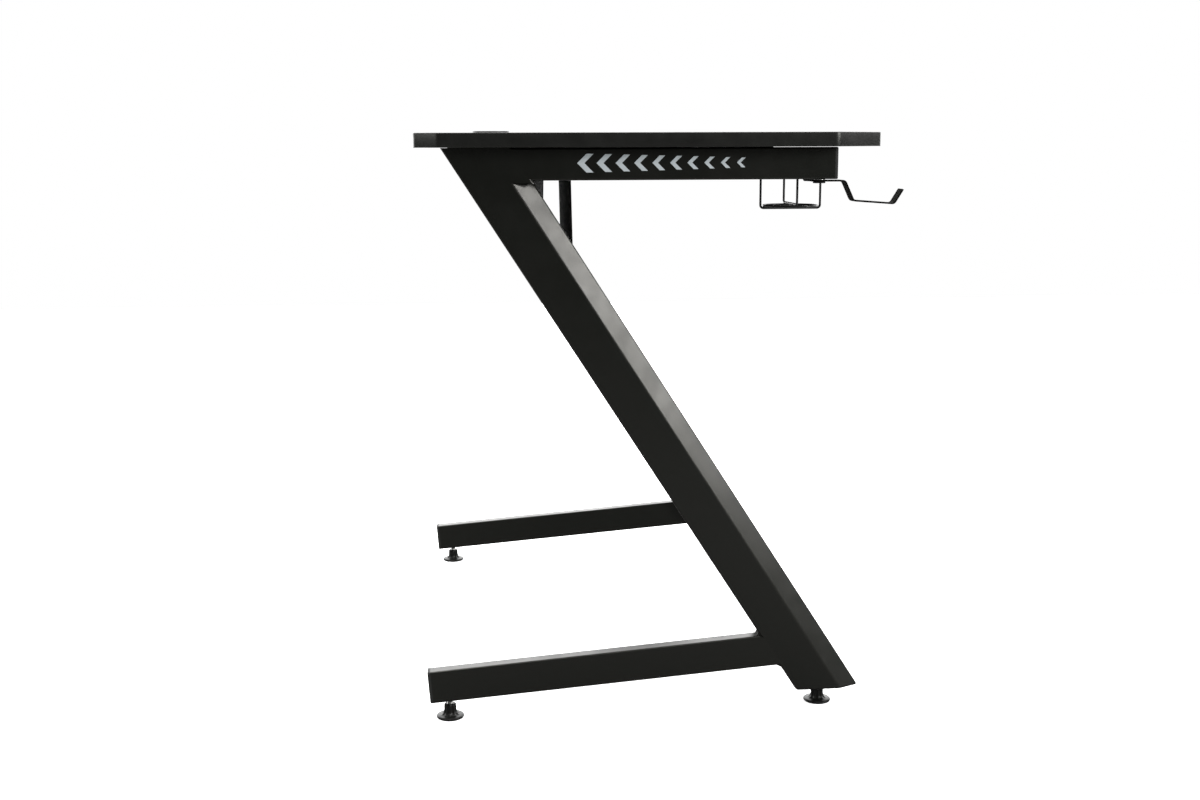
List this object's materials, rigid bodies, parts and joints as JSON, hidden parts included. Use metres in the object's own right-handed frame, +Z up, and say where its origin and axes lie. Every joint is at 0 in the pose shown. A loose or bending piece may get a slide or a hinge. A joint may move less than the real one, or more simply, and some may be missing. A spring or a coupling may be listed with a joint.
{
  "type": "gaming desk",
  "caption": "Compact gaming desk with a chamfered black top on two leaning Z-shaped steel side frames, with a swivelling headphone hook and cup basket.",
  "frame": {"origin": "bottom centre of the bounding box: on the floor, midway between the sides and midway from the hook's tip to the rear edge", "axes": "+X along the width to the user's right, -Y towards the user, +Z up"},
  "size_m": [0.8, 0.6154, 0.7603],
  "materials": {
    "board": "matte black foil with fine texture",
    "edging": "satin black edge band",
    "frame_paint": "satin black powder coat",
    "sheet_paint": "satin black powder coat on thin sheet",
    "cap_plastic": "moulded dark grey",
    "chevron_silver": "satin silver",
    "foot_plastic": "moulded black",
    "zinc": "bright zinc plate",
    "black_screw": "black oxide",
    "pad_rubber": "soft black",
    "wire_paint": "glossy black coat on wire",
    "outlet_plastic": "moulded black"
  },
  "bodies": {
    "desk": {"desktop_panel": "board", "desktop_edge_band": "edging", "left_leg": "frame_paint", "right_leg": "frame_paint", "left_beam": "frame_paint", "right_beam": "frame_paint", "left_foot_bar": "frame_paint", "right_foot_bar": "frame_paint", "left_beam_cap": "cap_plastic", "right_beam_cap": "cap_plastic", "left_foot_cap": "cap_plastic", "right_foot_cap": "cap_plastic", "left_leg_crown": "frame_paint", "right_leg_crown": "frame_paint", "left_leg_sole": "frame_paint", "right_leg_sole": "frame_paint", "left_welds": "frame_paint", "right_welds": "frame_paint", "left_chevrons": "chevron_silver", "right_chevrons": "chevron_silver", "front_crossbar": "frame_paint", "rear_crossbar": "frame_paint", "front_end_plates": "frame_paint", "rear_end_plates": "frame_paint", "frame_bolts": "black_screw", "frame_inserts": "zinc", "top_screws": "black_screw", "leg_pads": "pad_rubber", "cable_channel": "sheet_paint", "channel_screws": "black_screw", "glide_inserts": "zinc", "pivot_bolt": "black_screw", "pivot_washer": "zinc", "pivot_nut": "zinc", "grommet_ring": "outlet_plastic"},
    "front_left_foot": {"front_left_glide": "foot_plastic", "front_left_stud": "zinc"},
    "front_right_foot": {"front_right_glide": "foot_plastic", "front_right_stud": "zinc"},
    "rear_left_foot": {"rear_left_glide": "foot_plastic", "rear_left_stud": "zinc"},
    "rear_right_foot": {"rear_right_glide": "foot_plastic", "rear_right_stud": "zinc"},
    "swivel": {"swivel_bracket": "sheet_paint", "cup_hoop": "wire_paint", "cup_wire_long": "wire_paint", "cup_wire_cross": "wire_paint", "cup_base_hoop": "wire_paint"},
    "outlet_cap": {"grommet_cap": "outlet_plastic"}
  },
  "joints": [
    {"name": "front_left_level", "type": "slide", "parent": "desk", "child": "front_left_foot", "axis": [0, 0, 1], "range_m": [-0.01, 0.002]},
    {"name": "front_right_level", "type": "slide", "parent": "desk", "child": "front_right_foot", "axis": [0, 0, 1], "range_m": [-0.01, 0.002]},
    {"name": "rear_left_level", "type": "slide", "parent": "desk", "child": "rear_left_foot", "axis": [0, 0, 1], "range_m": [-0.01, 0.004]},
    {"name": "rear_right_level", "type": "slide", "parent": "desk", "child": "rear_right_foot", "axis": [0, 0, 1], "range_m": [-0.01, 0.004]},
    {"name": "swivel_turn", "type": "hinge", "parent": "desk", "child": "swivel", "pos_m": [-0.37, -0.20075, 0.6953], "axis": [0, 0, 1], "range_deg": [-165, 0]},
    {"name": "outlet_turn", "type": "hinge", "parent": "desk", "child": "outlet_cap", "pos_m": [0, 0.20475, 0.758], "axis": [0, 0, 1], "continuous": true}
  ]
}
